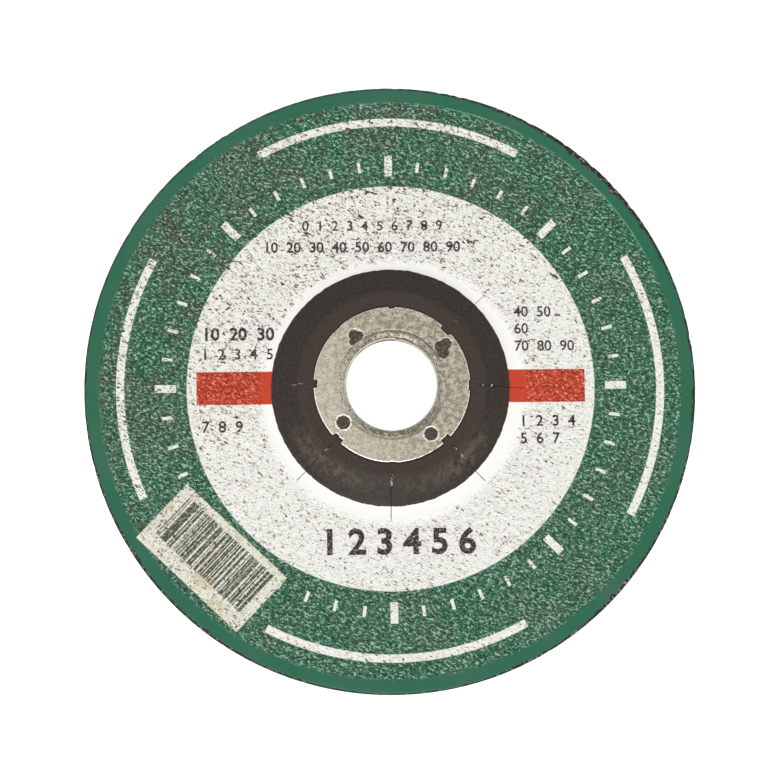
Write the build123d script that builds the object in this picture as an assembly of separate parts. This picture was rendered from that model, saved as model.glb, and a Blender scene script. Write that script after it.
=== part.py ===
from build123d import *
import os
from math import cos, floor, pi, radians, sin, tan

# Depressed-centre cut-off disc for stone, lying label side up with its hub raised.
# Millimetres. Z runs along the bore, and Z = 0 is the flat back face of the cutting rim.
# A level is a distance from the back face, measured square to the dished plies.

# Disc body
disc_diameter = 150.0
disc_thickness = 3.0
recess_depth = 4.6
recess_floor_diameter = 45.0
slope_angle = 38.0
rim_chamfer = 0.3

# Paper label, slit all round so that it follows the dish without creasing
label_diameter = 148.0
label_thickness = 0.15
slit_count = 8
slit_width = 0.25
slit_inner_radius = 20.6
slit_outer_radius = 32.6

# Glass cloth under the label, with a flat patch of it under the hub
cloth_diameter = 142.0
cloth_bore_diameter = 27.0
cloth_thickness = 0.35
patch_margin = 1.0

# Open glass net on the back, laid in two directions
yarn_pitch = 12.0
yarn_width = 2.0
yarn_thickness = 0.2

# Stamped steel ring that lines the bore
bore_diameter = 22.23
ring_diameter = 38.5
ring_sheet = 0.7
ring_bend_radius = 1.3
visible_bend_steps = 3
hidden_bend_steps = 1
ring_proud = 0.55
collar_length = 3.2
notch_count = 8
notch_width = 2.2
notch_depth = 1.0
anchor_hole_count = 4
anchor_hole_diameter = 3.3
anchor_circle_diameter = 30.4
anchor_start_angle = 37.0
key_recess = 0.15
body_bore_clearance = 0.05

# Levels of the plies, from the label down
label_level = disc_thickness - label_thickness
cloth_level = label_level - cloth_thickness
patch_level = cloth_level - cloth_thickness
net_level = 2 * yarn_thickness

# Radii and heights that follow from the sizes above
disc_radius = disc_diameter / 2
recess_radius = recess_floor_diameter / 2
slope_foot_radius = recess_radius + recess_depth / tan(radians(slope_angle))
knee_shift = tan(radians(slope_angle / 2))
hub_front = recess_depth + disc_thickness
patch_radius = recess_radius + cloth_level * knee_shift - patch_margin
ring_radius = ring_diameter / 2
flange_top = hub_front + ring_proud
flange_bottom = flange_top - ring_sheet
collar_bottom = flange_top - collar_length
bore_radius = bore_diameter / 2
collar_radius = bore_radius + ring_sheet
body_bore_radius = bore_radius + body_bore_clearance
blank_bore_radius = bore_radius / 2
cloth_bore_radius = cloth_bore_diameter / 2
overshoot = disc_thickness


def surface_points(level, inner_radius, outer_radius):
    """One dished surface, from inside outwards: flat hub, cone, flat rim."""
    shift = level * knee_shift
    return [
        (inner_radius, recess_depth + level),
        (recess_radius + shift, recess_depth + level),
        (slope_foot_radius + shift, level),
        (outer_radius, level),
    ]


def dished_ply(low, high, outer_radius, inner_radius=blank_bore_radius):
    """A ply of even thickness between two levels, which follows the dish."""
    lower = surface_points(low, inner_radius, outer_radius)
    upper = surface_points(high, inner_radius, outer_radius)
    outline = lower + upper[::-1]
    section = make_face(Polyline(*outline, close=True))
    return revolve(Plane.XZ * section, Axis.Z)


def rolled_corner(wall_radius, foot, face, bend_radius, steps):
    """Half-section points up a collar wall, round a quarter bend and out along a flange."""
    turns = [pi / 2 * step / steps for step in range(steps + 1)]
    bend = [
        (wall_radius + bend_radius * (1 - cos(turn)), face - bend_radius * (1 - sin(turn)))
        for turn in turns
    ]
    return [(wall_radius, foot)] + bend + [(ring_radius, face)]


def rim_notches():
    """Blocks as wide and deep as the notches round the ring's rim, the first on +X."""
    length = notch_depth + overshoot
    block = Box(length, notch_width, 2 * overshoot)
    middle = ring_radius - notch_depth + length / 2
    return [Pos(0, 0, flange_top) * spot * block for spot in PolarLocations(middle, notch_count)]


def arbor_ring():
    """Flange, rolled bend and short collar of one sheet, with anchor holes and notches."""
    over = rolled_corner(
        bore_radius, collar_bottom, flange_top, ring_bend_radius + ring_sheet, visible_bend_steps
    )
    section = make_face(Polyline(*over, *hub_side[::-1], close=True))
    hole = Cylinder(anchor_hole_diameter / 2, 2 * overshoot)
    return revolve(Plane.XZ * section, Axis.Z) - anchor_places(hole, flange_top) - rim_notches()


def anchor_places(shape, height):
    """Copies of a shape on the circle of anchor holes."""
    circle = PolarLocations(anchor_circle_diameter / 2, anchor_hole_count, anchor_start_angle)
    return [Pos(0, 0, height) * spot * shape for spot in circle]


def ring_seat():
    """The room that the ring and the open bore take out of the plies."""
    outline = hub_side + [
        (ring_radius, flange_top + overshoot),
        (0, flange_top + overshoot),
        (0, -overshoot),
        (body_bore_radius, -overshoot),
        (body_bore_radius, collar_bottom),
    ]
    section = make_face(Polyline(*outline, close=True))
    return revolve(Plane.XZ * section, Axis.Z) - rim_notches()


def anchor_keys():
    """Mix squeezed up into the anchor holes, which stops short of the flange's face."""
    height = ring_sheet - key_recess
    key = Cylinder(anchor_hole_diameter / 2, height)
    return Compound(anchor_places(key, flange_bottom + height / 2))


def front_label():
    """The round paper label, from the ring out to just inside the cutting edge."""
    length = slit_outer_radius - slit_inner_radius
    slit = Box(length, slit_width, 4 * hub_front)
    slits = [spot * slit for spot in PolarLocations(slit_inner_radius + length / 2, slit_count)]
    return dished_ply(label_level, disc_thickness, label_diameter / 2) - slits - seat


def front_cloth():
    """The resin-soaked glass cloth right under the label, clear of the ring's bend."""
    return dished_ply(cloth_level, label_level, cloth_diameter / 2, cloth_bore_radius)


def hub_patch():
    """A flat washer of the same cloth that stiffens the hub's flat top from below."""
    washer = Cylinder(patch_radius, cloth_thickness) - Cylinder(cloth_bore_radius, cloth_thickness)
    return Pos(0, 0, recess_depth + patch_level + cloth_thickness / 2) * washer


def yarn_slabs(turn):
    """Upright parallel slabs, one over each yarn, half a pitch either side of the axis."""
    per_side = floor((cloth_diameter - yarn_width) / 2 / yarn_pitch + 0.5)
    slab = Box(yarn_width, 2 * disc_diameter, 4 * hub_front)
    middles = [(side + 0.5) * yarn_pitch for side in range(-per_side, per_side)]
    return Compound([Rot(0, 0, turn) * Pos(middle, 0, 0) * slab for middle in middles])


def yarns(low, high, turn):
    """Flat yarns of one direction, cut to a round net and pressed to the dish."""
    return (dished_ply(low, high, cloth_diameter / 2) & yarn_slabs(turn)) - seat


def abrasive_body():
    """The pressed mix, which closes round the cloths and is sunk at the back for the net."""
    blank = dished_ply(0, label_level, disc_radius)
    rims = blank.edges().filter_by(GeomType.CIRCLE).group_by(SortBy.RADIUS)[-1]
    body = chamfer(rims.sort_by(Axis.Z)[-1], rim_chamfer)
    cloth_room = dished_ply(cloth_level, disc_thickness, cloth_diameter / 2, cloth_bore_radius)
    net_room = dished_ply(-overshoot, net_level, cloth_diameter / 2)
    return body - cloth_room - hub_patch() - net_room - seat


hub_side = rolled_corner(
    collar_radius, collar_bottom, flange_bottom, ring_bend_radius, hidden_bend_steps
)
seat = ring_seat()
nodes = {
    "front_label": front_label(),
    "front_glass_cloth": front_cloth(),
    "hub_glass_patch": hub_patch(),
    "abrasive_body": abrasive_body(),
    "back_net_weft": yarns(yarn_thickness, net_level, 90),
    "back_net_warp": yarns(0, yarn_thickness, 0),
    "arbor_ring": arbor_ring(),
    "anchor_keys": anchor_keys(),
}

os.makedirs("parts", exist_ok=True)
for name, shape in nodes.items():
    export_step(shape, f"parts/{name}.step")
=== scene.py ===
from math import cos, pi, radians, sin, sqrt, tan

import bmesh
import bpy
import numpy as np
from mathutils import Matrix, Vector


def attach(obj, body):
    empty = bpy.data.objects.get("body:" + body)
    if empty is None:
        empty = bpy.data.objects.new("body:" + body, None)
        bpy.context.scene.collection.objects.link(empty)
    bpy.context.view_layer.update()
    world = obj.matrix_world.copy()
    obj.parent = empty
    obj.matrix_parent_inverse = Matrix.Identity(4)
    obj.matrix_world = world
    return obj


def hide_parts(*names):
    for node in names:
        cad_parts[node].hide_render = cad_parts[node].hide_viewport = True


# Looks of a depressed-centre cut-off disc for stone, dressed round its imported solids.
# Lengths are written in millimetres and turned into metres where a mesh is made.
# A level is a distance from the back face, measured square to the dished plies.

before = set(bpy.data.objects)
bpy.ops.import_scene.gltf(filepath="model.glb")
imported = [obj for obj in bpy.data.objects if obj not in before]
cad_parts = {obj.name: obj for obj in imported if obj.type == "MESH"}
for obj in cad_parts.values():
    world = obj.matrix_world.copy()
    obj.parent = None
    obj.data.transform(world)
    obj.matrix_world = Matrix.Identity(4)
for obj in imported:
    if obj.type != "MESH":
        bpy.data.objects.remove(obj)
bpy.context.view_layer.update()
mm = 0.001

# Dish, as in the solids
disc_radius = 75.0
disc_thickness = 3.0
recess_depth = 4.6
recess_radius = 22.5
slope_angle = 38.0
slope = tan(radians(slope_angle))
knee_shift = tan(radians(slope_angle / 2))
foot_radius = recess_radius + recess_depth / slope
hub_front = recess_depth + disc_thickness
knee_softness = 1.5

# Paper label
label_radius = 74.0
label_thickness = 0.15
label_gap = 0.04
slit_inner = 20.6
slit_outer = 32.6
slit_width = 0.13
smooth_hub_radius = 33.0
smooth_hub_narrowing = 2.6
smooth_rim_radius = 71.3
cloth_thickness = 0.35
cloth_radius = 71.0
cloth_bore = 13.5

# Print on the label
print_turn = 0.8
field_radius = 50.0
stripe_height = 8.1
stripe_end = 47.6
hub_print_radius = 29.25
hub_print_middle = (-0.17, -0.2)
arc_radius = 66.2
tick_radius = 55.2
box_middle = (-44.1, -41.3)
box_length = 33.4
box_height = 17.8
box_turn = -43.8
arc_gap_turn = 223.0
arc_gap_half = 19.0
grain_size = 0.72
grain_lean = 158.0

# Steel ring
ring_radius = 19.25
ring_top = 8.15
ring_sheet = 0.7
ring_bend = 2.0
bore_radius = 11.115
collar_foot = 4.95
notch_count = 8
notch_widths = [2.2, 2.7, 1.6, 2.0, 2.1, 2.8, 1.6, 2.4]
notch_depths = [0.35, 0.8, 0.4, 0.12, 0.95, 1.0, 0.15, 0.95]
rim_wear = 0.17
anchor_circle = 15.2
smeared_hole = 37.0
hole_depth = 0.36

# Glass net on the back
net_radius = 71.0
yarn_pitch = 6.0
yarn_width = 1.9
yarn_thickness = 0.24
net_middle = 0.2
net_bore = 12.3
mix_level = 0.2


def soft_above(value, floor_value, softness):
    """The larger of two values, with their corner rounded by a parabola."""
    gap = np.maximum(softness - np.abs(value - floor_value), 0)
    return np.maximum(value, floor_value) + gap * gap / (4 * softness)


def dished_height(radius, level, softness=knee_softness):
    """Height of a dished ply: its level, plus a straight slope held between 0 and the recess depth."""
    rise = (foot_radius + knee_shift * level - radius) * slope
    lifted = soft_above(rise, 0, softness)
    return level + recess_depth - soft_above(recess_depth - lifted, 0, softness)


def smooth_step(value, low, high):
    """0 below low, 1 above high, and 3t^2 - 2t^3 between them."""
    share = np.clip((value - low) / (high - low), 0, 1)
    return share * share * (3 - 2 * share)


def wave_relief(x, y, z, shortest, longest, seed, count=40):
    """A sum of cosine waves of seeded headings, lengths and phases, with a spread of 1."""
    draw = np.random.default_rng(seed)
    headings = draw.normal(size=(count, 3))
    headings /= np.linalg.norm(headings, axis=1)[:, None]
    sizes = draw.uniform(shortest, longest, count)
    phases = draw.uniform(0, 2 * pi, count)
    total = np.zeros(np.broadcast(x, y, z).shape)
    for heading, size, phase in zip(headings, sizes, phases):
        along = x * heading[0] + y * heading[1] + z * heading[2]
        total += np.cos(2 * pi * along / size + phase)
    return total * sqrt(2 / count)


def turns_round(count, crowding=0.5):
    """Angles once round, evenly spaced and then drawn together near every eighth of a turn."""
    even = np.arange(count) * 2 * pi / count
    return even - crowding * np.sin(notch_count * even) / notch_count


def eighth_offset(turn):
    """Signed angle to the nearest eighth of a turn, where the slits and notches are."""
    part = 2 * pi / notch_count
    return (turn + part / 2) % part - part / 2


def grid_faces(rows, columns, close_rows, close_columns):
    """Four-cornered faces between neighbouring points of a grid, row by row."""
    row = np.arange(rows if close_rows else rows - 1)[:, None]
    column = np.arange(columns if close_columns else columns - 1)[None, :]
    next_row = (row + 1) % rows
    next_column = (column + 1) % columns
    corners = [
        row * columns + column,
        row * columns + next_column,
        next_row * columns + next_column,
        next_row * columns + column,
    ]
    faces = np.stack([corner + 0 * column + 0 * row for corner in corners], axis=-1)
    return faces.reshape(-1, 4)


def enclosed(points, faces):
    """Six times the volume inside a closed mesh, which is below zero if its faces point inwards."""
    first, second, third = (points[faces[:, number]] for number in range(3))
    volume = np.sum(first * np.cross(second, third))
    if faces.shape[1] == 4:
        volume += np.sum(first * np.cross(third, points[faces[:, 3]]))
    return volume


def add_piece(name, points, faces, material):
    """A smooth-shaded closed mesh that rides on the disc; points are in millimetres."""
    points = np.asarray(points).reshape(-1, 3)
    if enclosed(points, faces) < 0:
        faces = faces[:, ::-1]
    mesh = bpy.data.meshes.new(name)
    mesh.from_pydata((points * mm).tolist(), [], faces.tolist())
    mesh.materials.append(material)
    mesh.shade_smooth()
    mesh.update()
    piece = bpy.data.objects.new(name, mesh)
    bpy.context.scene.collection.objects.link(piece)
    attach(piece, "root")
    return piece


def weld_poles(piece):
    """Joins points that coincide at a closed end, so that no face there is without area."""
    work = bmesh.new()
    work.from_mesh(piece.data)
    bmesh.ops.remove_doubles(work, verts=work.verts, dist=0.00001 * mm)
    work.to_mesh(piece.data)
    work.free()


def ring_points(radius, height, turn):
    """Points of a surface of revolution whose radius and height may change with the turn."""
    return np.stack([radius * np.cos(turn), radius * np.sin(turn), height], axis=-1)


# Camera and light


def place_camera():
    """Looks down at the disc from a little below and left of its axis, as in the photograph."""
    distance = 610.0
    lean_x = radians(2.09)
    lean_y = radians(7.25)
    aim = Vector((-0.29, -0.88, 3.0)) * mm
    sideways = -sin(lean_x) * distance
    downwards = -sin(lean_y) * distance
    height = sqrt(distance**2 - sideways**2 - downwards**2)
    place = Vector((sideways, downwards, height)) * mm
    ahead = (aim - place).normalized()
    right = ahead.cross(Vector((0, 1, 0))).normalized()
    up = right.cross(ahead)
    camera = bpy.data.objects.new("camera", bpy.data.cameras.new("camera"))
    turned = Matrix((right, up, -ahead)).transposed().to_4x4()
    camera.matrix_world = Matrix.Translation(place) @ turned
    camera.data.sensor_width = 36.0
    camera.data.lens = 114.2
    camera.data.clip_start = 0.01
    bpy.context.scene.collection.objects.link(camera)
    bpy.context.scene.camera = camera


def place_sun(name, strength, elevation, heading, spread):
    """A soft distant lamp that shines from a heading round the disc, in degrees."""
    lamp = bpy.data.lights.new(name, "SUN")
    lamp.energy = strength
    lamp.angle = radians(spread)
    sun = bpy.data.objects.new(name, lamp)
    turn = radians(heading)
    rise = radians(elevation)
    towards = Vector((cos(turn) * cos(rise), sin(turn) * cos(rise), sin(rise)))
    sun.rotation_mode = "QUATERNION"
    sun.rotation_quaternion = towards.to_track_quat("Z", "Y")
    bpy.context.scene.collection.objects.link(sun)


# Shader helpers


def srgb(red, green, blue):
    """A colour given as three 0 to 255 screen values, as the linear colour that shaders take."""
    shares = [value / 255 for value in (red, green, blue)]
    linear = [s / 12.92 if s <= 0.04045 else ((s + 0.055) / 1.055) ** 2.4 for s in shares]
    return (*linear, 1.0)


def add_node(tree, kind, inputs=None, **options):
    """Adds a node, sets its options, and sets or links its inputs by name or number."""
    node = tree.nodes.new(kind)
    for option, value in options.items():
        setattr(node, option, value)
    for name, value in (inputs or {}).items():
        if isinstance(value, bpy.types.NodeSocket):
            tree.links.new(value, node.inputs[name])
        else:
            node.inputs[name].default_value = value
    return node


def calc(tree, operation, first, second=0.0, third=0.0):
    """One step of arithmetic on values of the surface."""
    inputs = {0: first, 1: second, 2: third}
    return add_node(tree, "ShaderNodeMath", inputs, operation=operation).outputs[0]


def ramp(tree, value, low, high):
    """A mask that goes smoothly from 0 at low to 1 at high."""
    inputs = {"Value": value, "From Min": low, "From Max": high}
    node = add_node(tree, "ShaderNodeMapRange", inputs, interpolation_type="SMOOTHSTEP")
    return node.outputs["Result"]


def both(tree, first, second):
    """Where both masks are set."""
    return calc(tree, "MULTIPLY", first, second)


def between(tree, value, low, high, softness):
    """A mask that is set between two limits."""
    inside = ramp(tree, value, low - softness, low + softness)
    outside = ramp(tree, value, high + softness, high - softness)
    return both(tree, inside, outside)


def paint(tree, under, over, mask):
    """Lays one colour over another where the mask is set."""
    inputs = {"Factor": mask, "A": under, "B": over}
    node = add_node(tree, "ShaderNodeMix", None, data_type="RGBA")
    for name, value in inputs.items():
        socket = next(s for s in node.inputs if s.name == name and s.enabled)
        if isinstance(value, bpy.types.NodeSocket):
            tree.links.new(value, socket)
        else:
            socket.default_value = value
    return next(s for s in node.outputs if s.enabled)


def noise(tree, position, scale, detail=2.0, roughness=0.5, distortion=0.0):
    """Even-tempered noise between about 0.3 and 0.7."""
    inputs = {
        "Vector": position,
        "Scale": scale,
        "Detail": detail,
        "Roughness": roughness,
        "Distortion": distortion,
    }
    return add_node(tree, "ShaderNodeTexNoise", inputs).outputs["Fac"]


def millimetres(tree, turn=0.0, scale=(1.0, 1.0, 1.0)):
    """Object coordinates in millimetres, turned about the bore by an angle in degrees."""
    place = add_node(tree, "ShaderNodeTexCoord").outputs["Object"]
    inputs = {
        "Vector": place,
        "Rotation": (0, 0, radians(turn)),
        "Scale": tuple(1000 * size for size in scale),
    }
    return add_node(tree, "ShaderNodeMapping", inputs).outputs["Vector"]


def stretched(tree, position, turn, stretch):
    """Coordinates in which a pattern comes out drawn longer along one direction, in degrees."""
    inputs = {"Vector": position, "Rotation": (0, 0, radians(turn)), "Scale": (stretch, 1 / stretch, 1.0)}
    return add_node(tree, "ShaderNodeMapping", inputs, vector_type="TEXTURE").outputs["Vector"]


def new_material(name, specular):
    """An empty material with one Principled shader."""
    material = bpy.data.materials.new(name)
    material.use_nodes = True
    tree = material.node_tree
    shader = tree.nodes["Principled BSDF"]
    shader.inputs["Specular IOR Level"].default_value = specular
    return material, tree, shader


def connect(tree, shader, **sockets):
    """Links values of the surface to the shader's inputs."""
    for name, value in sockets.items():
        tree.links.new(value, shader.inputs[name.replace("_", " ")])


def bump(tree, height, depth, under=None):
    """A normal bent by a height of 0 to 1 that stands for a depth in millimetres."""
    inputs = {"Height": height, "Strength": 1.0, "Distance": depth * mm}
    if under is not None:
        inputs["Normal"] = under
    return add_node(tree, "ShaderNodeBump", inputs).outputs["Normal"]


def new_group(name, inputs, outputs):
    """An empty node group with named inputs and outputs."""
    tree = bpy.data.node_groups.new(name, "ShaderNodeTree")
    for socket, kind in inputs.items():
        tree.interface.new_socket(socket, in_out="INPUT", socket_type=kind)
    for socket, kind in outputs.items():
        tree.interface.new_socket(socket, in_out="OUTPUT", socket_type=kind)
    return tree, tree.nodes.new("NodeGroupInput"), tree.nodes.new("NodeGroupOutput")


def use_group(tree, group, inputs):
    """Places a node group in a material."""
    node = tree.nodes.new("ShaderNodeGroup")
    node.node_tree = group
    for name, value in inputs.items():
        if isinstance(value, bpy.types.NodeSocket):
            tree.links.new(value, node.inputs[name])
        else:
            node.inputs[name].default_value = value
    return node.outputs


# Shared surface effects


def make_grain_group():
    """Grit that presses through a skin: its height, its hollows and its ridges."""
    tree, given, made = new_group(
        "pressed_grain",
        {"Position": "NodeSocketVector", "Size": "NodeSocketFloat"},
        {"Height": "NodeSocketFloat", "Hollow": "NodeSocketFloat", "Ridge": "NodeSocketFloat"},
    )
    scale = calc(tree, "DIVIDE", 1.0, given.outputs["Size"])
    fine_scale = calc(tree, "MULTIPLY", scale, 2.1)
    coarse = noise(tree, given.outputs["Position"], scale, 2.0, 0.55, 0.5)
    fine = noise(tree, given.outputs["Position"], fine_scale, 1.0, 0.5, 0.3)
    coarse_part = calc(tree, "MULTIPLY", coarse, 0.6)
    height = calc(tree, "MULTIPLY_ADD", fine, 0.4, coarse_part)
    tree.links.new(height, made.inputs["Height"])
    tree.links.new(ramp(tree, height, 0.49, 0.39), made.inputs["Hollow"])
    tree.links.new(ramp(tree, height, 0.53, 0.61), made.inputs["Ridge"])
    return tree


grain = make_grain_group()


def faded(tree, mask, share):
    """A mask at a share of its strength."""
    return calc(tree, "MULTIPLY", mask, share)


def print_coordinates(tree):
    """Across, up, distance from the bore and turn round it, in the slightly turned print."""
    printed = millimetres(tree, turn=-print_turn)
    split = add_node(tree, "ShaderNodeSeparateXYZ", {"Vector": printed})
    x = split.outputs["X"]
    y = split.outputs["Y"]
    flat = add_node(tree, "ShaderNodeCombineXYZ", {"X": x, "Y": y}).outputs["Vector"]
    length = add_node(tree, "ShaderNodeVectorMath", {0: flat}, operation="LENGTH")
    return x, y, length.outputs["Value"], calc(tree, "ARCTAN2", y, x)


def repeated(tree, turn, count):
    """Signed angle to the nearest of a number of even divisions of the turn."""
    part = 2 * pi / count
    shifted = calc(tree, "ADD", turn, part / 2)
    wrapped = calc(tree, "FLOORED_MODULO", shifted, part)
    return calc(tree, "SUBTRACT", wrapped, part / 2)


def in_box(tree, x, y):
    """Coordinates along and across the pale box at the lower left, from its middle."""
    turn = radians(box_turn)
    from_x = calc(tree, "SUBTRACT", x, box_middle[0])
    from_y = calc(tree, "SUBTRACT", y, box_middle[1])
    along = calc(tree, "MULTIPLY_ADD", from_x, cos(turn), calc(tree, "MULTIPLY", from_y, sin(turn)))
    across = calc(tree, "MULTIPLY_ADD", from_y, cos(turn), calc(tree, "MULTIPLY", from_x, -sin(turn)))
    return along, across


def pale_ink(tree, place, toward_upper_left, rough_zone, light, dark):
    """Unprinted paper: pale, a little clouded, and flecked where the grit's hollows took up glue."""
    sunk = calc(tree, "MULTIPLY_ADD", toward_upper_left, -0.04, calc(tree, "ADD", noise(tree, place, 1.5, 3.0, 0.62, 0.9), 0.018))
    spots = calc(tree, "MULTIPLY_ADD", toward_upper_left, -0.05, noise(tree, place, 0.42, 4.0, 0.6, 0.6))
    cloud = both(tree, ramp(tree, sunk, 0.485, 0.40), rough_zone)
    grey_flecks = both(tree, ramp(tree, sunk, 0.415, 0.372), rough_zone)
    dark_flecks = both(tree, ramp(tree, sunk, 0.375, 0.345), rough_zone)
    colour = paint(tree, light, dark, faded(tree, cloud, 0.75))
    colour = paint(tree, colour, srgb(138, 131, 120), grey_flecks)
    colour = paint(tree, colour, srgb(56, 50, 44), dark_flecks)
    return paint(tree, colour, srgb(80, 70, 58), both(tree, ramp(tree, spots, 0.335, 0.29), rough_zone))


def green_ground(tree, place, pressed, toward_upper_left, rough_zone, pressed_line):
    """The green ground: smooth by the rim, grained further in, stained, with a line pressed between them; the grain
    has painted shade in its hollows and painted highlights on its ridges.
    """
    hollow_shade = both(tree, pressed["Hollow"], rough_zone)
    ridge_glint = both(tree, pressed["Ridge"], rough_zone)
    patches = ramp(tree, noise(tree, place, 0.16, 4.0, 0.65), 0.44, 0.62)
    brown = both(tree, calc(tree, "MULTIPLY_ADD", toward_upper_left, 0.45, 0.12), patches)
    tint = ramp(tree, noise(tree, place, 0.07, 3.0, 0.6), 0.35, 0.65)
    smooth_green = paint(tree, srgb(42, 103, 77), srgb(54, 106, 83), tint)
    grained = paint(tree, srgb(48, 108, 80), srgb(70, 110, 86), tint)
    colour = paint(tree, smooth_green, grained, rough_zone)
    colour = paint(tree, colour, srgb(84, 80, 62), both(tree, brown, rough_zone))
    # Painted shade in the grain's hollows, and painted glints on its ridges
    colour = paint(tree, colour, srgb(24, 44, 30), faded(tree, hollow_shade, 0.85))
    colour = paint(tree, colour, srgb(196, 228, 208), faded(tree, ridge_glint, 0.66))
    return paint(tree, colour, srgb(110, 176, 142), faded(tree, pressed_line, 0.8))


def white_lines(tree, radius, turn):
    """Four arcs near the rim and a ring of ticks, with every sixth tick wide and long."""
    quarter = calc(tree, "COSINE", calc(tree, "MULTIPLY", turn, 4.0))
    arcs = both(tree, ramp(tree, quarter, -0.44, -0.42), ring_band(tree, radius, arc_radius, 1.0))
    lower_left = calc(tree, "ABSOLUTE", calc(tree, "SUBTRACT", turn, radians(arc_gap_turn - 360.0)))
    arcs = both(tree, arcs, ramp(tree, lower_left, radians(arc_gap_half), radians(arc_gap_half + 0.2)))
    fine = calc(tree, "MULTIPLY", repeated(tree, turn, 48), radius)
    fine = both(tree, between(tree, fine, -0.4, 0.4, 0.08), ring_band(tree, radius, tick_radius, 1.3))
    wide = calc(tree, "MULTIPLY", repeated(tree, turn, 8), radius)
    wide = both(tree, between(tree, wide, -0.95, 0.95, 0.08), ring_band(tree, radius, tick_radius, 2.6))
    return calc(tree, "MAXIMUM", arcs, calc(tree, "MAXIMUM", fine, wide))


def ring_band(tree, radius, middle, half):
    """A ring-shaped mask round the bore."""
    return between(tree, radius, middle - half, middle + half, 0.1)


def red_stripe(tree, x, y, pressed, rough_zone):
    """The stripe's colour and its mask: two red bars, one on either side of the hub, with painted shade in the
    grain's hollows and painted highlights on its ridges.
    """
    half = stripe_height / 2
    upright = ramp(tree, calc(tree, "ABSOLUTE", y), half + 0.08, half - 0.08)
    mask = both(tree, upright, between(tree, calc(tree, "ABSOLUTE", x), 20.0, stripe_end, 0.08))
    hollow_shade = both(tree, pressed["Hollow"], rough_zone)
    ridge_glint = both(tree, pressed["Ridge"], rough_zone)
    # Painted shade in the grain's hollows, and painted glints on its ridges
    red = paint(tree, srgb(203, 68, 43), srgb(118, 42, 22), faded(tree, hollow_shade, 0.8))
    return paint(tree, red, srgb(255, 168, 138), faded(tree, ridge_glint, 0.75)), mask


def barred_box(tree, x, y, place, pressed, toward_upper_left, rough_zone):
    """The pale box's colour and its mask: stained paper with worn plain bars of many widths."""
    along, across = in_box(tree, x, y)
    mask = between(tree, along, -box_length / 2, box_length / 2, 0.12)
    mask = both(tree, mask, between(tree, across, -box_height / 2, box_height / 2, 0.12))
    paper = pale_ink(tree, place, calc(tree, "ADD", toward_upper_left, 0.5), rough_zone, srgb(245, 243, 226), srgb(200, 198, 176))
    stains = ramp(tree, noise(tree, place, 0.22, 3.0, 0.6), 0.50, 0.66)
    paper = paint(tree, paper, srgb(214, 196, 158), faded(tree, stains, 0.55))
    widths = {"W": calc(tree, "ADD", along, 3.7), "Scale": 1.7, "Detail": 1.0}
    choice = add_node(tree, "ShaderNodeTexNoise", widths, noise_dimensions="1D").outputs["Fac"]
    ragged = calc(tree, "MULTIPLY_ADD", noise(tree, place, 2.2, 2.0), 0.12, calc(tree, "SUBTRACT", choice, 0.06))
    bars = both(tree, ramp(tree, ragged, 0.455, 0.49), between(tree, along, -14.2, 14.2, 0.08))
    bars = both(tree, bars, between(tree, across, -5.0, 7.0, 0.2))
    worn = both(tree, bars, calc(tree, "SUBTRACT", 1.0, faded(tree, pressed["Ridge"], 0.5)))
    olive = paint(tree, srgb(42, 68, 48), srgb(76, 80, 54), stains)
    return paint(tree, paper, olive, faded(tree, worn, 0.93)), mask


def black_hub(tree, place, radius, own_turn):
    """The black hub's colour and its mask: dusty, with a painted highlight on the slope at the lower left and right.
    """
    moved = {0: place, 1: (*hub_print_middle, 0.0)}
    from_middle = add_node(tree, "ShaderNodeVectorMath", moved, operation="SUBTRACT").outputs["Vector"]
    flat = {0: from_middle, 1: (1.0, 1.0, 0.0)}
    flattened = add_node(tree, "ShaderNodeVectorMath", flat, operation="MULTIPLY").outputs["Vector"]
    distance = add_node(tree, "ShaderNodeVectorMath", {0: flattened}, operation="LENGTH").outputs["Value"]
    waver = calc(tree, "MULTIPLY_ADD", noise(tree, place, 0.6, 3.0), 0.5, hub_print_radius - 0.25)
    mask = ramp(tree, calc(tree, "SUBTRACT", distance, waver), 0.1, -0.1)
    flat_top = ramp(tree, radius, 23.6, 22.6)
    colour = paint(tree, srgb(48, 41, 37), srgb(58, 50, 45), flat_top)
    fine = ramp(tree, noise(tree, place, 1.6, 3.0, 0.7), 0.42, 0.62)
    colour = paint(tree, colour, srgb(78, 70, 63), faded(tree, fine, 0.4))
    # Painted highlight on the slope at the lower left and right, on the side towards the light
    lower = ramp(tree, calc(tree, "SINE", own_turn), -0.3, -0.6)
    diagonal = calc(tree, "ABSOLUTE", calc(tree, "SINE", calc(tree, "MULTIPLY", own_turn, 2.0)))
    lower_slope_highlight = both(tree, both(tree, lower, diagonal), between(tree, radius, 23.4, 27.2, 1.4))
    lower_slope_highlight = both(tree, lower_slope_highlight, ramp(tree, noise(tree, place, 0.5, 5.0, 0.7), 0.38, 0.6))
    return paint(tree, colour, srgb(112, 103, 92), faded(tree, lower_slope_highlight, 0.5)), mask


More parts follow.
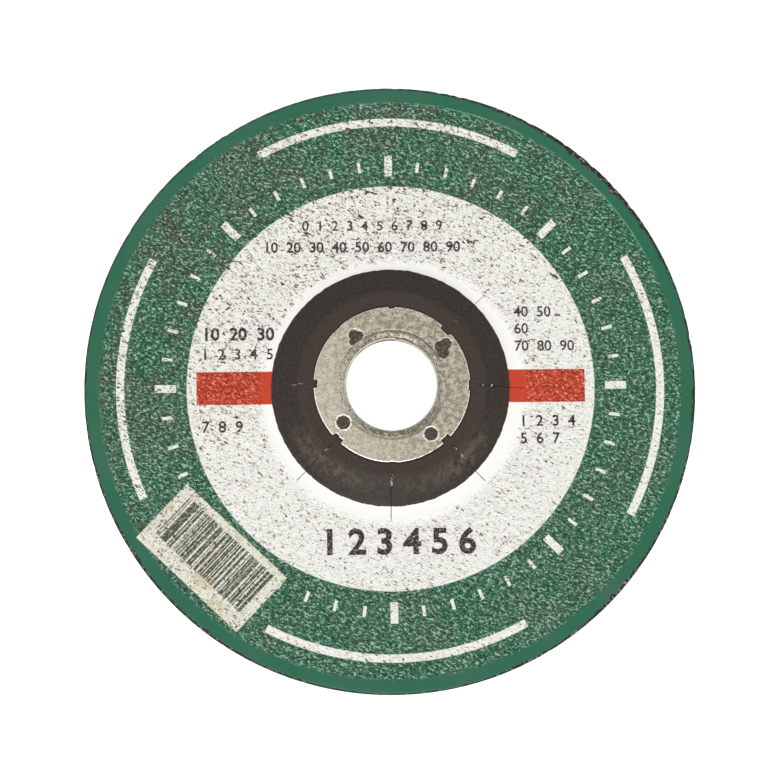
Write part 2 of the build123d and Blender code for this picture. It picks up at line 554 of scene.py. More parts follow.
def make_label_paper():
    """Printed paper: green ground, pale field, white lines, red stripe, box of bars and black hub."""
    material, tree, shader = new_material("label_paper", 0.2)
    straight = millimetres(tree)
    place = stretched(tree, straight, grain_lean, 1.3)
    x, y, radius, turn = print_coordinates(tree)
    # A share that grows towards the upper left: more flecks, more brown patches and a wider grained zone there
    toward_upper_left = ramp(tree, calc(tree, "MULTIPLY_ADD", x, -0.55, y), -35.0, 60.0)
    from_hub = calc(tree, "MULTIPLY_ADD", toward_upper_left, smooth_hub_narrowing, radius)
    rough_zone = both(
        tree,
        ramp(tree, from_hub, smooth_hub_radius - 1.0, smooth_hub_radius + 2.0),
        ramp(tree, radius, smooth_rim_radius + 0.5, smooth_rim_radius - 0.6),
    )
    pressed = use_group(tree, grain, {"Position": place, "Size": grain_size})
    pale = pale_ink(tree, place, toward_upper_left, rough_zone, srgb(255, 254, 248), srgb(206, 202, 190))
    field = ramp(tree, radius, field_radius + 0.12, field_radius - 0.12)
    broken = ramp(tree, noise(tree, straight, 0.3, 3.0), 0.42, 0.52)
    upper_right = ramp(tree, calc(tree, "COSINE", calc(tree, "SUBTRACT", turn, radians(58.0))), 0.75, 0.95)
    line = both(tree, between(tree, radius, smooth_rim_radius - 0.2, smooth_rim_radius + 0.05, 0.1), broken)
    ground = green_ground(tree, straight, pressed, toward_upper_left, rough_zone, both(tree, line, upper_right))
    colour = paint(tree, ground, pale, calc(tree, "MAXIMUM", field, white_lines(tree, radius, turn)))
    colour = paint(tree, colour, *red_stripe(tree, x, y, pressed, rough_zone))
    colour = paint(tree, colour, *barred_box(tree, x, y, straight, pressed, toward_upper_left, rough_zone))

    # Hub and slits keep to the disc's own axes, not to the slightly turned print
    split = add_node(tree, "ShaderNodeSeparateXYZ", {"Vector": straight})
    own_turn = calc(tree, "ARCTAN2", split.outputs["Y"], split.outputs["X"])
    off_slit = calc(tree, "MULTIPLY", repeated(tree, own_turn, notch_count), radius)
    colour = paint(tree, colour, *black_hub(tree, straight, radius, own_turn))
    slit = both(tree, between(tree, off_slit, -0.1, 0.1, 0.05), between(tree, radius, slit_inner, slit_outer, 0.4))
    open_side = calc(tree, "COSINE", calc(tree, "ADD", own_turn, radians(55.0)))
    slit = both(tree, slit, ramp(tree, open_side, -0.55, 0.1))
    colour = paint(tree, colour, srgb(34, 29, 26), faded(tree, slit, 0.85))

    height = both(tree, calc(tree, "SUBTRACT", pressed["Height"], 0.5), rough_zone)
    shader.inputs["Roughness"].default_value = 0.55
    connect(tree, shader, Base_Color=colour, Normal=bump(tree, height, 0.75))
    return material


def make_ink():
    """Dark ink for the printed numbers, missing where the paper's ridges pushed it off."""
    material, tree, shader = new_material("dark_ink", 0.2)
    place = millimetres(tree)
    pressed = use_group(tree, grain, {"Position": place, "Size": 0.6})
    colour = paint(tree, srgb(52, 46, 42), srgb(190, 186, 176), faded(tree, pressed["Ridge"], 0.55))
    shader.inputs["Roughness"].default_value = 0.6
    connect(tree, shader, Base_Color=colour, Normal=bump(tree, pressed["Height"], 0.3))
    return material


def make_abrasive_mix():
    """Dark stone grit in resin, with pale grains and pits."""
    material, tree, shader = new_material("abrasive_mix", 0.25)
    place = millimetres(tree)
    pressed = use_group(tree, grain, {"Position": place, "Size": 0.7})
    cells = add_node(tree, "ShaderNodeTexVoronoi", {"Vector": place, "Scale": 2.0})
    shade = add_node(tree, "ShaderNodeSeparateColor", {"Color": cells.outputs["Color"]})
    pale_grain = ramp(tree, shade.outputs["Red"], 0.8, 0.95)
    colour = paint(tree, srgb(60, 52, 47), srgb(24, 20, 18), pressed["Hollow"])
    colour = paint(tree, colour, srgb(168, 160, 148), faded(tree, pale_grain, 0.6))
    rough = calc(tree, "MULTIPLY_ADD", pale_grain, -0.35, 0.85)
    normal = bump(tree, pressed["Height"], 0.5)
    connect(tree, shader, Base_Color=colour, Roughness=rough, Normal=normal)
    return material


def make_grain_crystals():
    """Single grains of grit: grey, some almost black and some pale, with glassy faces."""
    material, tree, shader = new_material("grit_crystals", 0.5)
    place = millimetres(tree)
    shade = noise(tree, place, 0.9, 1.0)
    colour = paint(tree, srgb(44, 42, 42), srgb(128, 124, 118), ramp(tree, shade, 0.48, 0.68))
    shader.inputs["Roughness"].default_value = 0.3
    connect(tree, shader, Base_Color=colour)
    return material


def make_glass_yarn():
    """Resin-soaked glass yarn: amber-grey, with fine filaments."""
    material, tree, shader = new_material("glass_yarn", 0.5)
    place = millimetres(tree)
    strands = noise(tree, place, 2.4, 3.0, 0.6)
    soaked = ramp(tree, noise(tree, place, 0.12, 2.0), 0.4, 0.62)
    colour = paint(tree, srgb(150, 138, 112), srgb(196, 190, 172), ramp(tree, strands, 0.35, 0.65))
    colour = paint(tree, colour, srgb(92, 82, 66), faded(tree, soaked, 0.6))
    shader.inputs["Roughness"].default_value = 0.45
    connect(tree, shader, Base_Color=colour, Normal=bump(tree, strands, 0.2))
    return material


def make_ring_steel():
    """Tinned steel with a grey bloom, pits, a painted lighter lower left side, bright edges with painted highlights,
    painted shade on the bend and a painted shadow at the collar foot.
    """
    material, tree, shader = new_material("ring_steel", 0.5)
    shader.inputs["Metallic"].default_value = 1.0
    place = millimetres(tree)
    split = add_node(tree, "ShaderNodeSeparateXYZ", {"Vector": place})
    x, y, height = (split.outputs[axis] for axis in "XYZ")
    flat = add_node(tree, "ShaderNodeCombineXYZ", {"X": x, "Y": y}).outputs["Vector"]
    radius = add_node(tree, "ShaderNodeVectorMath", {0: flat}, operation="LENGTH").outputs["Value"]
    cloud = noise(tree, place, 0.9, 5.0, 0.72)
    specks = noise(tree, place, 2.6, 3.0, 0.6)
    streaks = noise(tree, place, 1.1, 3.0, 0.6)
    colour = paint(tree, srgb(128, 121, 107), srgb(186, 180, 163), ramp(tree, cloud, 0.36, 0.64))
    lit_side = ramp(tree, calc(tree, "MULTIPLY_ADD", y, 0.6, x), 6.0, -17.0)
    colour = paint(tree, colour, srgb(208, 201, 185), faded(tree, lit_side, 0.42))
    colour = paint(tree, colour, srgb(232, 227, 212), faded(tree, ramp(tree, specks, 0.56, 0.68), 0.65))
    colour = paint(tree, colour, srgb(96, 90, 78), faded(tree, ramp(tree, specks, 0.43, 0.33), 0.6))

    # Painted shade on the creased shoulder of the bend and on its steep part, darkest at the ring's top and bottom
    # as seen from the camera; pits; a painted highlight above the collar foot, and a painted shadow at the foot
    facing = calc(tree, "ABSOLUTE", calc(tree, "DIVIDE", y, radius))
    crease = both(tree, between(tree, radius, 12.95, 13.45, 0.3), ramp(tree, facing, 0.1, 0.85))
    # Painted shade along the crease
    colour = paint(tree, colour, srgb(92, 86, 76), faded(tree, crease, 0.75))
    bend = both(tree, ramp(tree, radius, 13.1, 12.5), ramp(tree, streaks, 0.70, 0.36))
    bend = both(tree, bend, ramp(tree, facing, 0.35, 1.0))
    # Painted shade on the bend's steep part
    colour = paint(tree, colour, srgb(96, 90, 80), faded(tree, bend, 0.9))
    pits = both(tree, between(tree, radius, 11.6, 13.4, 0.3), ramp(tree, specks, 0.44, 0.36))
    colour = paint(tree, colour, srgb(70, 64, 56), pits)
    above_foot = calc(tree, "MULTIPLY_ADD", ramp(tree, x, 1.2, 0.4), -0.5, calc(tree, "SUBTRACT", height, 6.3))
    lit = both(tree, between(tree, above_foot, 0.0, 0.55, 0.1), ramp(tree, y, -2.0, 4.0))
    colour = paint(tree, colour, srgb(236, 230, 212), faded(tree, lit, 0.75))
    # Painted shadow at the collar's foot, broken by noise
    foot = both(tree, ramp(tree, above_foot, 0.08, -0.08), ramp(tree, noise(tree, place, 0.22, 2.0), 0.43, 0.47))
    colour = paint(tree, colour, srgb(30, 26, 24), foot)

    # Bright edges, worn and with a painted highlight that is strongest on the lower side, and a brown smear beside
    # one torn hole
    worn = add_node(tree, "ShaderNodeAttribute", attribute_name="edge_wear_and_highlight").outputs["Fac"]
    colour = paint(tree, colour, srgb(255, 250, 236), both(tree, worn, ramp(tree, streaks, 0.34, 0.5)))
    middle_x, middle_y = anchor_middle(smeared_hole)
    smear_place = {0: flat, 1: (middle_x - 0.9, middle_y - 1.6, 0.0)}
    smear = add_node(tree, "ShaderNodeVectorMath", smear_place, operation="DISTANCE").outputs["Value"]
    smear = calc(tree, "MULTIPLY_ADD", streaks, -1.6, smear)
    colour = paint(tree, colour, srgb(120, 92, 74), faded(tree, ramp(tree, smear, 0.6, -0.3), 0.85))
    rough = calc(tree, "MULTIPLY_ADD", cloud, 0.4, 0.25)
    connect(tree, shader, Base_Color=colour, Roughness=rough, Normal=bump(tree, specks, 0.1))
    return material


def make_squeezed_mix():
    """The same grit squeezed up through the ring's holes, glossier with resin."""
    material, tree, shader = new_material("squeezed_mix", 0.4)
    place = millimetres(tree)
    pressed = use_group(tree, grain, {"Position": place, "Size": 0.5})
    colour = paint(tree, srgb(70, 60, 50), srgb(30, 24, 20), pressed["Hollow"])
    # Painted glints on the grain's ridges
    colour = paint(tree, colour, srgb(128, 116, 100), faded(tree, pressed["Ridge"], 0.7))
    shader.inputs["Roughness"].default_value = 0.4
    connect(tree, shader, Base_Color=colour, Normal=bump(tree, pressed["Height"], 0.5))
    return material


def make_torn_paper():
    """Pale torn fibres of the label's back."""
    material, tree, shader = new_material("torn_paper", 0.2)
    place = millimetres(tree)
    shade = noise(tree, place, 1.5, 2.0)
    colour = paint(tree, srgb(120, 112, 104), srgb(220, 216, 208), ramp(tree, shade, 0.42, 0.58))
    shader.inputs["Roughness"].default_value = 0.8
    connect(tree, shader, Base_Color=colour)
    return material


def white_where_seen(tree, seen_strength, other_strength):
    """A strength for what the camera, gloss or glass sees, and another for all other light."""
    path = add_node(tree, "ShaderNodeLightPath")
    seen = calc(tree, "MAXIMUM", path.outputs["Is Camera Ray"], path.outputs["Is Glossy Ray"])
    seen = calc(tree, "MAXIMUM", seen, path.outputs["Is Transmission Ray"])
    return calc(tree, "MULTIPLY_ADD", seen, seen_strength - other_strength, other_strength)


def make_floor_material():
    """Plain pale board that reads as white in the picture and keeps the disc's shadow."""
    material, tree, shader = new_material("pale_board", 0.0)
    shader.inputs["Base Color"].default_value = (0.8, 0.8, 0.8, 1.0)
    shader.inputs["Roughness"].default_value = 1.0
    shader.inputs["Emission Color"].default_value = (1.0, 1.0, 1.0, 1.0)
    connect(tree, shader, Emission_Strength=white_where_seen(tree, 0.76, 0.0))
    return material


def light_world(ambient):
    """White surroundings that light the disc at a lower, even level."""
    world = bpy.data.worlds.new("studio")
    world.use_nodes = True
    tree = world.node_tree
    background = tree.nodes["Background"]
    background.inputs["Color"].default_value = (1.0, 1.0, 1.0, 1.0)
    tree.links.new(white_where_seen(tree, 1.0, ambient), background.inputs["Strength"])
    bpy.context.scene.world = world


# Pieces


def ring_rim(turn):
    """Radius of the steel ring's rim: a circle, less a soft-edged notch at each eighth."""
    rim = ring_radius - rim_wear + 0 * turn
    for number, (width, depth) in enumerate(zip(notch_widths, notch_depths)):
        off = turn - number * 2 * pi / notch_count
        off = np.abs((off + pi) % (2 * pi) - pi) * ring_radius
        ragged = 0.12 * wave_relief(turn * ring_radius, 0, 0, 0.5, 1.4, 61 + number, 12)
        cut = smooth_step(-off + ragged, -width / 2 - 0.1, -width / 2 + 0.14)
        rim = rim - (depth + 0.5 * ragged * depth) * cut
    return rim


def worn_place(turn, middle, spread):
    """A bell-shaped weight round a place on the rim, in degrees."""
    off = (np.degrees(turn) - middle + 180) % 360 - 180
    return np.exp(-((off / spread) ** 2))


def label_edge(turn):
    """Radius of the label's edge: a circle worn back in a few places, ragged, with chips torn out."""
    x = disc_radius * np.cos(turn)
    y = disc_radius * np.sin(turn)
    worn = 0.8 * worn_place(turn, 45, 18) + 0.2 * worn_place(turn, 74, 12) + 0.18 * worn_place(turn, 3, 12)
    worn += 0.28 * worn_place(turn, 222, 30) + 0.36 * worn_place(turn, 321, 24)
    wander = wave_relief(x, y, 0, 4, 14, 31)
    nibble = wave_relief(x, y, 0, 1.4, 3.5, 32)
    torn = smooth_step(0.7 * wander + nibble, 0.9, 2.2)
    return label_radius + 0.66 - 0.02 * wander - 0.04 * nibble - worn - torn * (0.08 + 0.8 * worn)


def label_relief(x, y, radius):
    """How far the grit pushes the paper up or down, smooth on the hub and the rim band."""
    rough = smooth_step(radius, smooth_hub_radius - 2, smooth_hub_radius + 3)
    rough = rough * smooth_step(-radius, -smooth_rim_radius - 0.4, -smooth_rim_radius + 0.6)
    coarse = wave_relief(x, y, 0, 1.4, 3.2, 11, 60)
    broad = wave_relief(x, y, 0, 9, 30, 12)
    return 0.045 * rough * coarse + 0.03 * broad


def label_height(x, y):
    """Height of the label's face: the dished surface plus its relief."""
    radius = np.hypot(x, y)
    return dished_height(radius, disc_thickness) + label_relief(x, y, radius)


def flat_layout(piece, columns, face_rows):
    """A texture layout from above for the face, with the underside laid in a strip beside it."""
    mesh = piece.data
    place = np.zeros(len(mesh.vertices) * 3)
    mesh.vertices.foreach_get("co", place)
    place = place.reshape(-1, 3) / mm
    corners = np.zeros(len(mesh.loops), dtype=np.int64)
    mesh.loops.foreach_get("vertex_index", corners)
    polygon = np.repeat(np.arange(len(mesh.polygons)), 4)
    row = polygon // columns
    half = disc_radius + 1
    across = 0.475 + 0.475 * place[corners, 0] / half
    up = 0.475 + 0.475 * place[corners, 1] / half
    below = row >= face_rows - 1
    corner_row = corners // columns
    corner_column = corners % columns
    last_column = (polygon % columns == columns - 1) & (corner_column == 0)
    corner_column = np.where(last_column, columns, corner_column)
    low_row = np.where(corner_row == 0, corner_row.max() + 1, corner_row) - (face_rows - 1)
    strip_across = corner_column / columns * 0.98 + 0.01
    strip_up = 0.965 + 0.03 * low_row / max(low_row.max(), 1)
    layout = np.stack([np.where(below, strip_across, across), np.where(below, strip_up, up)], axis=-1)
    uv_map = mesh.uv_layers.new(name="OFBake")
    uv_map.data.foreach_set("uv", layout.ravel())


def make_label(material):
    """The label: a radius by turn grid on the dished face, closed by an underside, slit at the eighths."""
    columns = 720
    face_rows = 122
    turn = turns_round(columns)[None, :]
    even = np.linspace(ring_radius + label_gap, label_radius, face_rows)[:, None]
    inner = (ring_rim(turn) - ring_radius) * smooth_step(-even, -21.5, -ring_radius - label_gap)
    outer = (label_edge(turn) - label_radius) * smooth_step(even, 71.5, label_radius)
    radius = even + inner + outer
    height = label_height(radius * np.cos(turn), radius * np.sin(turn))
    off_slit = np.abs(eighth_offset(turn)) * radius
    slit = smooth_step(-off_slit, -slit_width, 0)
    slit = slit * smooth_step(radius, slit_inner - 0.3, slit_inner + 0.3)
    slit = slit * smooth_step(-radius, -slit_outer - 0.3, -slit_outer + 0.3)
    open_side = smooth_step(np.cos(turn + radians(55)), -0.55, 0.1)
    height = height - (0.08 + 0.22 * open_side) * slit
    under_rows = [face_rows - 1, 100, 60, 30, 24, 20, 12, 8, 0]
    under_radius = radius[under_rows]
    under = dished_height(under_radius, disc_thickness - label_thickness) - 0.2
    points = [ring_points(radius, height, turn), ring_points(under_radius, under, turn)]
    faces = grid_faces(face_rows + len(under_rows), columns, True, True)
    piece = add_piece("front_label_paper", np.concatenate(points), faces, material)
    flat_layout(piece, columns, face_rows)
    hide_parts("front_label")


def make_cloth_ply(material):
    """The glass cloth right under the label: two dished faces joined at the bore and the rim."""
    turn = turns_round(96, 0.0)[None, :]
    out = np.array([cloth_bore, 18, 21, 22, 23, 24, 25, 27, 28.5, 29.5, 31, 33, 40, 50, 60, cloth_radius])
    top_level = disc_thickness - label_thickness - 0.12
    section_radius = np.concatenate([out, out[::-1]])[:, None]
    top = dished_height(out, top_level)
    bottom = dished_height(out[::-1], top_level - cloth_thickness + 0.12)
    height = np.concatenate([top, bottom])[:, None]
    points = ring_points(section_radius + 0 * turn, height + 0 * turn, turn)
    piece = add_piece("front_cloth_ply", points, grid_faces(len(height), 96, True, True), material)
    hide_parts("front_glass_cloth")


def lay_profile(corners, spacing):
    """Points along a line of corners, each run cut into equal steps no longer than the spacing."""
    placed = []
    for start, end in zip(corners[:-1], corners[1:]):
        length = np.hypot(*(np.array(end) - start))
        steps = max(1, int(np.ceil(length / spacing)))
        share = np.arange(steps)[:, None] / steps
        placed.append(np.array(start) + share * (np.array(end) - start))
    return np.concatenate(placed + [np.array([corners[-1]])])


def body_section():
    """Half section of the pressed mix: under the label, round the rim, and back to the bore."""
    front = lay_profile([(12.0, 6.2), (13.3, 7.3), (19.6, 7.4)], 3.0)
    front_radius = np.array([22.0, 23.2, 26.0, 29.0, 30.2, 45.0, 60.0, 70.0, 72.0])
    cover = np.stack([front_radius, dished_height(front_radius, 2.45)], axis=-1)
    rim_corners = [(72.4, 2.75), (74.68, 2.85), (75.0, 2.52), (75.0, 0.15), (74.8, 0.0), (71.6, 0.0)]
    rim = lay_profile(rim_corners, 0.24)
    back_radius = lay_profile([(71.2, 0), (30.0, 0), (21.0, 0), (12.1, 0)], 0.55)[:, 0]
    back = np.stack([back_radius, dished_height(back_radius, mix_level)], axis=-1)
    return np.concatenate([front, cover, rim, back])


def make_body(material):
    """The pressed mix: its half section carried round, roughened by grit on every open face."""
    columns = 600
    turn = turns_round(columns, 0.0)[None, :]
    section = body_section()
    radius = section[:, :1] + 0 * turn
    height = section[:, 1:] + 0 * turn
    x = radius * np.cos(turn)
    y = radius * np.sin(turn)
    grit = wave_relief(x, y, height, 0.9, 2.2, 21, 60)
    chips = smooth_step(wave_relief(x, y, height, 1.5, 4.0, 22, 50), 1.0, 2.6)
    on_wall = (radius > 74.6) & (height < 2.8)
    on_back = (height < dished_height(radius, 1.2)) & ~on_wall
    on_front = (radius > 72.2) & (height >= 2.7) & ~on_wall
    inwards = np.where(on_wall, 0.02 + 0.03 * np.abs(grit) + 0.3 * chips, 0)
    lift = np.where(on_back, 0.05 + 0.035 * grit, 0) + np.where(on_front, 0.05 * grit, 0)
    points = ring_points(radius - inwards, np.maximum(height + lift, 0), turn)
    piece = add_piece(
        "abrasive_mix_body", points, grid_faces(len(section), columns, True, True), material
    )
    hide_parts("abrasive_body")


def make_lumps(name, middles, sizes, seed, material):
    """Many small eight-faced lumps, each stretched by its own sizes and turned by its own angles."""
    draw = np.random.default_rng(seed)
    tips = np.array([[1, 0, 0], [-1, 0, 0], [0, 1, 0], [0, -1, 0], [0, 0, 1], [0, 0, -1]], float)
    sides = [(0, 2, 4), (2, 1, 4), (1, 3, 4), (3, 0, 4), (2, 0, 5), (1, 2, 5), (3, 1, 5), (0, 3, 5)]
    turn, tilt = draw.uniform(0, 2 * pi, (2, len(middles), 1))
    tilt = tilt * 0.12
    shaped = tips[None] * sizes[:, None, :]
    shaped = shaped + draw.uniform(-0.15, 0.15, shaped.shape) * sizes[:, None, :]
    x, y, z = shaped[..., 0], shaped[..., 1], shaped[..., 2]
    x, z = x * np.cos(tilt) - z * np.sin(tilt), x * np.sin(tilt) + z * np.cos(tilt)
    x, y = x * np.cos(turn) - y * np.sin(turn), x * np.sin(turn) + y * np.cos(turn)
    points = np.stack([x, y, z], axis=-1) + middles[:, None, :]
    points[..., 2] = np.maximum(points[..., 2], 0.002)
    out = np.hypot(points[..., 0], points[..., 1])
    points[..., :2] *= np.minimum(1, (disc_radius - 0.005) / out)[..., None]
    faces = np.array(sides)[None] + 6 * np.arange(len(middles))[:, None, None]
    piece = add_piece(name, points, faces.reshape(-1, 3), material)
    piece.data.shade_flat()
    return piece


def make_grit(material):
    """Single grains that stand a little out of the mix: on the back, and round the rim's front edge."""
    draw = np.random.default_rng(77)
    back_count = 5200
    out = np.sqrt(draw.uniform(13.0**2, 74.2**2, back_count))
    turn = draw.uniform(0, 2 * pi, back_count)
    level = np.where(out > net_radius, 0.16, mix_level + 0.12)
    back = ring_points(out, dished_height(out, 0) + level, turn)
    rim_count = 900
    rim_turn = draw.uniform(0, 2 * pi, rim_count)
    rim_height = draw.uniform(0.3, 2.7, rim_count)
    rim = ring_points(74.78 + 0 * rim_turn, rim_height, rim_turn)
    back_sizes = draw.uniform(0.1, 0.34, (back_count, 3)) * np.array([1, 0.8, 0.4])
    rim_sizes = draw.uniform(0.08, 0.2, (rim_count, 3))
    middles = np.concatenate([back, rim])
    sizes = np.concatenate([back_sizes, rim_sizes])
    make_lumps("grit_grains", middles, sizes, 78, material)


def make_torn_fibres(material):
    """Torn bits of paper that stand up along the slits on the black hub."""
    draw = np.random.default_rng(88)
    counts = [7, 2, 0, 0, 6, 12, 16, 22]
    middles = []
    sizes = []
    for number, count in enumerate(counts):
        turn = number * 2 * pi / notch_count
        out = draw.uniform(21.6, 25.6, count)
        off = draw.normal(0, 0.1, count)
        x = out * cos(turn) - off * sin(turn)
        y = out * sin(turn) + off * cos(turn)
        middles.append(np.stack([x, y, label_height(x, y) + 0.02], axis=-1))
        sizes.append(draw.uniform(0.1, 0.28, (count, 3)) * np.array([1, 0.8, 0.4]))
    make_lumps("torn_fibres", np.concatenate(middles), np.concatenate(sizes), 89, material)


def yarn_runs(offset):
    """Start and end of the yarn's runs at an offset from the axis: one, or two beside the bore."""
    reach = sqrt(net_radius**2 - offset**2) - 0.4
    if abs(offset) >= net_bore:
        return [(-reach, reach)]
    gap = sqrt(net_bore**2 - offset**2)
    return [(-reach, -gap), (gap, reach)]


def yarn_points(offset, start, end, over, seed):
    """A flat oval carried along one run, lifted over and under the crossing yarns by a cosine."""
    sides = np.arange(10)[None, :] * 2 * pi / 10
    count = int((end - start) / 0.9)
    along = np.linspace(start, end, count)[:, None]
    taper = np.sqrt(np.clip(np.minimum(along - start, end - along) / 0.25, 0, 1))
    wander = wave_relief(along, offset, 0, 8, 30, seed, 6)
    width = yarn_width / 2 * (1 + 0.12 * wave_relief(along, 0, 0, 2, 9, seed + 1, 6)) * taper
    side = offset + 0.1 * wander + width * np.cos(sides)
    weave = over * 0.07 * np.cos(pi * along / yarn_pitch)
    level = net_middle + weave + yarn_thickness / 2 * np.sin(sides) * taper
    height = dished_height(np.hypot(along, side), 0) + level
    return along + 0 * side, side, height


def make_yarns(name, node, turned, seed, material):
    """One direction of the net: parallel yarns on either side of the axis."""
    most = int((net_radius - 3) // yarn_pitch)
    points = []
    faces = []
    total = 0
    for number in range(-most, most + 1):
        offset = number * yarn_pitch
        over = (-1) ** number * (1 if turned else -1)
        for start, end in yarn_runs(offset):
            along, side, height = yarn_points(offset, start, end, over, seed + 7 * number)
            pair = [-side, along] if turned else [along, side]
            run = np.stack([*pair, height], axis=-1)
            points.append(run.reshape(-1, 3))
            faces.append(grid_faces(*run.shape[:2], False, True) + total)
            total += run.shape[0] * run.shape[1]
    piece = add_piece(name, np.concatenate(points), np.concatenate(faces), material)
    weld_poles(piece)
    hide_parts(node)


def anchor_holes():
    """Each anchor hole's angle and its lobes: two round holes, and two torn into lobes by the mix."""
    return {
        37.0: [(1.1, 1.0, 1.3), (-0.6, 0.25, 1.15), (0.45, -1.35, 1.35), (0.2, 0.0, 1.3)],
        127.0: [(-0.1, 0.1, 1.3), (1.15, -0.05, 1.05), (-0.5, -1.8, 0.75), (0.25, -0.9, 0.95)],
        217.0: [(0.35, -0.2, 1.66)],
        307.0: [(0.35, 0.1, 1.62)],
    }


def anchor_middle(turn):
    """Middle of the anchor hole at an angle in degrees."""
    return anchor_circle * cos(radians(turn)), anchor_circle * sin(radians(turn))


def hole_distance(x, y):
    """Distance outside the nearest hole's edge: circles blended by their exponentials, less a wavering edge."""
    sharpness = 5.0
    total = np.zeros(np.shape(x))
    for turn, lobes in anchor_holes().items():
        middle_x, middle_y = anchor_middle(turn)
        for shift_x, shift_y, size in lobes:
            away = np.hypot(x - middle_x - shift_x, y - middle_y - shift_y) - size
            total = total + np.exp(-sharpness * np.minimum(away, 8.0))
    ragged = 0.05 * wave_relief(x, y, 0, 0.4, 1.2, 71, 30)
    return -np.log(total) / sharpness + ragged


def ring_section(turn):
    """Half section of the ring: up the bore wall, round the bend, out to the notched rim, and back below."""
    centre_radius = bore_radius + ring_bend
    centre_height = ring_top - ring_bend
    inner_bend = ring_bend - ring_sheet
    under = ring_top - ring_sheet
    rounding = 0.2
    wall = np.linspace(collar_foot, centre_height, 6)[:-1, None]
    bend = np.linspace(0, pi / 2, 16)[:, None]
    share = np.linspace(0, 1, 46)[1:, None]
    edge = np.linspace(0, pi / 2, 6)[1:, None]
    back_share = np.linspace(0, 1, 5)[:, None]
    turn_in = np.linspace(pi / 2, 0, 6)[1:, None]
    rim = ring_rim(turn) - rounding
    around = 0 * turn
    radius = [
        bore_radius + 0 * wall + around,
        centre_radius - ring_bend * np.cos(bend) + around,
        centre_radius + share * (rim - centre_radius),
        rim + rounding * np.sin(edge),
        rim + rounding + back_share * (centre_radius - rim - rounding),
        centre_radius - inner_bend * np.cos(turn_in) + around,
        np.array([[bore_radius + ring_sheet]]) + around,
    ]
    height = [
        wall + around,
        centre_height + ring_bend * np.sin(bend) + around,
        ring_top + 0 * share + around,
        ring_top - rounding * (1 - np.cos(edge)) + around,
        under + 0 * back_share + around,
        centre_height + inner_bend * np.sin(turn_in) + around,
        np.array([[collar_foot]]) + around,
    ]
    return np.concatenate(radius), np.concatenate(height)


def make_ring(material):
    """The steel ring: its half section carried round, creased at the bend and dented at the holes."""
    columns = 840
    turn = turns_round(columns, 0.35)[None, :]
    radius, height = ring_section(turn)
    x = radius * np.cos(turn)
    y = radius * np.sin(turn)
    away = hole_distance(x, y)
    edge_line = np.exp(-(((away - 0.2) / 0.16) ** 2))
    lip = 0.06 * edge_line
    dent = hole_depth * smooth_step(-away, -0.06, 0.12)
    crease = 0.1 * np.exp(-(((radius - 13.3) / 0.25) ** 2))
    raised_rim = 0.03 * smooth_step(radius, 18.0, 18.6)
    uneven = 0.02 * wave_relief(x, y, 0, 1.2, 6, 41) - 0.07
    # Edge brightness for the steel: worn edges all round, and a painted highlight that is strongest on the lower
    # side
    rim_line = np.exp(-(((ring_rim(turn) - 0.12 - radius) / 0.13) ** 2))
    lower = smooth_step(-np.sin(turn), -0.5, 0.5)
    edge_wear_and_highlight = np.maximum(edge_line, rim_line) * (0.3 + 0.7 * lower)
    top = height > ring_top - 0.35
    edge_wear_and_highlight = np.where(top, edge_wear_and_highlight, 0)
    height = np.where(top, np.minimum(height + lip + raised_rim + uneven - dent - crease, ring_top), height)
    points = ring_points(radius, height, turn)
    faces = grid_faces(len(points), columns, True, True)
    piece = add_piece("arbor_ring_steel", points, faces, material)
    worn = piece.data.attributes.new("edge_wear_and_highlight", "FLOAT", "POINT")
    worn.data.foreach_set("value", edge_wear_and_highlight.ravel().astype(np.float32))
    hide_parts("arbor_ring")


def make_anchor_fills(material):
    """Rough low domes in the anchor holes: a polar grid each, closed at both poles."""
    columns = 56
    rings = np.linspace(0, 1, 18)[:, None]
    turn = np.arange(columns)[None, :] * 2 * pi / columns
    points = []
    faces = []
    total = 0
    for place, lobes in anchor_holes().items():
        middle_x, middle_y = anchor_middle(place)
        reach = 3.1 if len(lobes) > 1 else 2.1
        x = middle_x + reach * rings * np.cos(turn)
        y = middle_y + reach * rings * np.sin(turn)
        rough = wave_relief(x, y, 0, 0.5, 1.6, 51, 40)
        top = ring_top - 0.33 + 0.03 * rough
        low = ring_top - ring_sheet + 0.05 + 0 * x
        face = np.stack([x, y, top], axis=-1)
        back = np.stack([x, y, low], axis=-1)
        dome = np.concatenate([face, back[::-1]])
        points.append(dome.reshape(-1, 3))
        faces.append(grid_faces(len(dome), columns, False, True) + total)
        total += dome.shape[0] * dome.shape[1]
    piece = add_piece("anchor_fills", np.concatenate(points), np.concatenate(faces), material)
    weld_poles(piece)
    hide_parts("anchor_keys")


def number_rows():
    """Each printed row: its numbers, left end, foot and height in millimetres, and its boldness."""
    return [
        ("10  20  30", -46.2, 11.9, 3.1, 0.035),
        ("1  2  3  4  5", -46.4, 7.1, 2.7, 0.014),
        ("7  8  9", -46.4, -10.8, 2.8, 0.018),
        ("40  50", 30.4, 17.2, 2.6, 0.014),
        ("60", 30.4, 13.0, 2.6, 0.014),
        ("70  80  90", 30.4, 8.7, 2.6, 0.014),
        ("1  2  3  4", 31.4, -9.9, 2.7, 0.02),
        ("5  6  7", 31.4, -14.2, 2.7, 0.02),
        ("1 2 3 4 5 6", -17.6, -40.8, 6.2, 0.04),
        ("0  1  2  3  4  5  6  7  8  9", -21.5, 39.0, 2.5, 0.016),
        ("10  20  30  40  50  60  70  80  90", -31.0, 33.6, 2.6, 0.024),
    ]


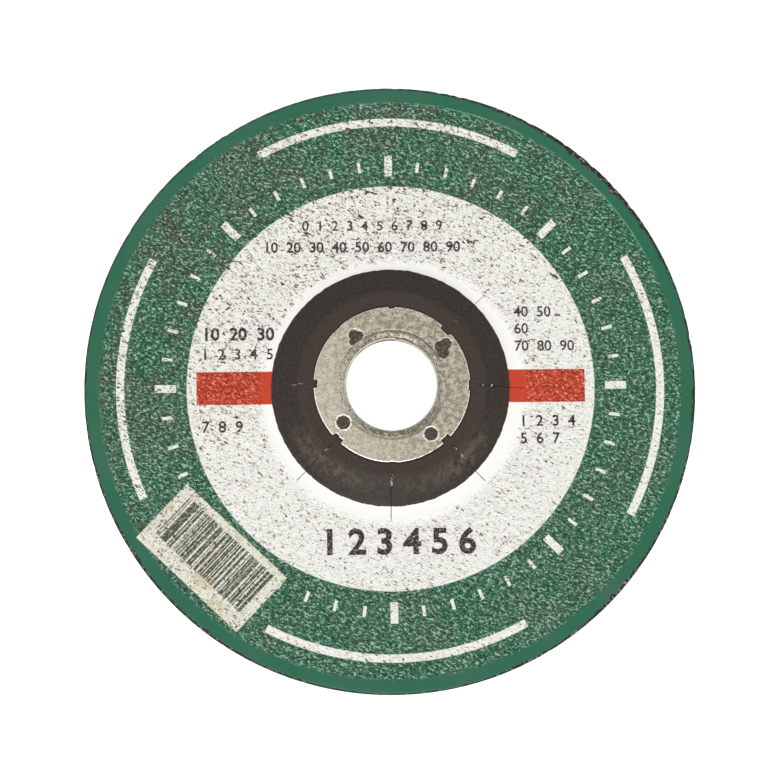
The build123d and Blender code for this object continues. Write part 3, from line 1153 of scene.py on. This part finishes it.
def row_mesh(body, left, foot, size, weight):
    """One row of numbers as a thin closed mesh, cut along a square grid so that it can follow the paper."""
    curve = bpy.data.curves.new("row", "FONT")
    curve.body = body
    curve.size = size / 0.72
    curve.offset = weight * size
    curve.extrude = 0.03
    curve.resolution_u = 4
    holder = bpy.data.objects.new("row", curve)
    bpy.context.scene.collection.objects.link(holder)
    bpy.context.view_layer.update()
    shown = holder.evaluated_get(bpy.context.evaluated_depsgraph_get())
    work = bmesh.new()
    work.from_mesh(shown.to_mesh())
    shown.to_mesh_clear()
    bpy.data.objects.remove(holder)
    bpy.data.curves.remove(curve)
    bmesh.ops.remove_doubles(work, verts=work.verts, dist=0.0005)
    across = [vertex.co.x for vertex in work.verts]
    for axis, low, high in ((0, min(across), max(across)), (1, -0.1 * size, 1.1 * size)):
        for step in np.arange(low, high, 0.7):
            normal = Vector((1, 0, 0)) if axis == 0 else Vector((0, 1, 0))
            everything = work.verts[:] + work.edges[:] + work.faces[:]
            bmesh.ops.bisect_plane(work, geom=everything, plane_co=normal * step, plane_no=normal)
    bmesh.ops.triangulate(work, faces=work.faces)
    turn = radians(print_turn)
    for vertex in work.verts:
        x = vertex.co.x + left
        y = vertex.co.y + foot
        vertex.co.x = x * cos(turn) - y * sin(turn)
        vertex.co.y = x * sin(turn) + y * cos(turn)
    return work


def make_numbers(material):
    """The printed numbers, laid on the label's face."""
    whole = bmesh.new()
    for row in number_rows():
        work = row_mesh(*row)
        held = bpy.data.meshes.new("row")
        work.to_mesh(held)
        work.free()
        whole.from_mesh(held)
        bpy.data.meshes.remove(held)
    mesh = bpy.data.meshes.new("printed_numbers")
    whole.to_mesh(mesh)
    whole.free()
    place = np.zeros(len(mesh.vertices) * 3)
    mesh.vertices.foreach_get("co", place)
    place = place.reshape(-1, 3)
    place[:, 2] += label_height(place[:, 0], place[:, 1]) + 0.03
    mesh.vertices.foreach_set("co", (place * mm).ravel())
    mesh.materials.append(material)
    mesh.update()
    piece = bpy.data.objects.new("printed_numbers", mesh)
    bpy.context.scene.collection.objects.link(piece)
    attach(piece, "root")


def make_floor(material):
    """A wide flat board just under the disc."""
    reach = 4000.0
    corners = [(-reach, -reach, 0), (reach, -reach, 0), (reach, reach, 0), (-reach, reach, 0)]
    mesh = bpy.data.meshes.new("floor")
    mesh.from_pydata([tuple(value * mm for value in corner) for corner in corners], [], [(0, 1, 2, 3)])
    mesh.materials.append(material)
    floor = bpy.data.objects.new("floor", mesh)
    bpy.context.scene.collection.objects.link(floor)
    floor.location.z = -0.02 * mm


place_camera()
place_sun("key", 1.6, 46.0, 262.0, 20.0)
light_world(0.62)
bpy.context.scene.view_settings.view_transform = "Standard"

label_paper = make_label_paper()
abrasive = make_abrasive_mix()
yarn = make_glass_yarn()

make_floor(make_floor_material())
make_label(label_paper)
make_numbers(make_ink())
make_cloth_ply(yarn)
make_body(abrasive)
make_grit(make_grain_crystals())
make_torn_fibres(make_torn_paper())
make_yarns("back_weft_yarns", "back_net_weft", False, 100, yarn)
make_yarns("back_warp_yarns", "back_net_warp", True, 900, yarn)
make_ring(make_ring_steel())
make_anchor_fills(make_squeezed_mix())

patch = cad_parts["hub_glass_patch"]
patch.data.materials.clear()
patch.data.materials.append(yarn)
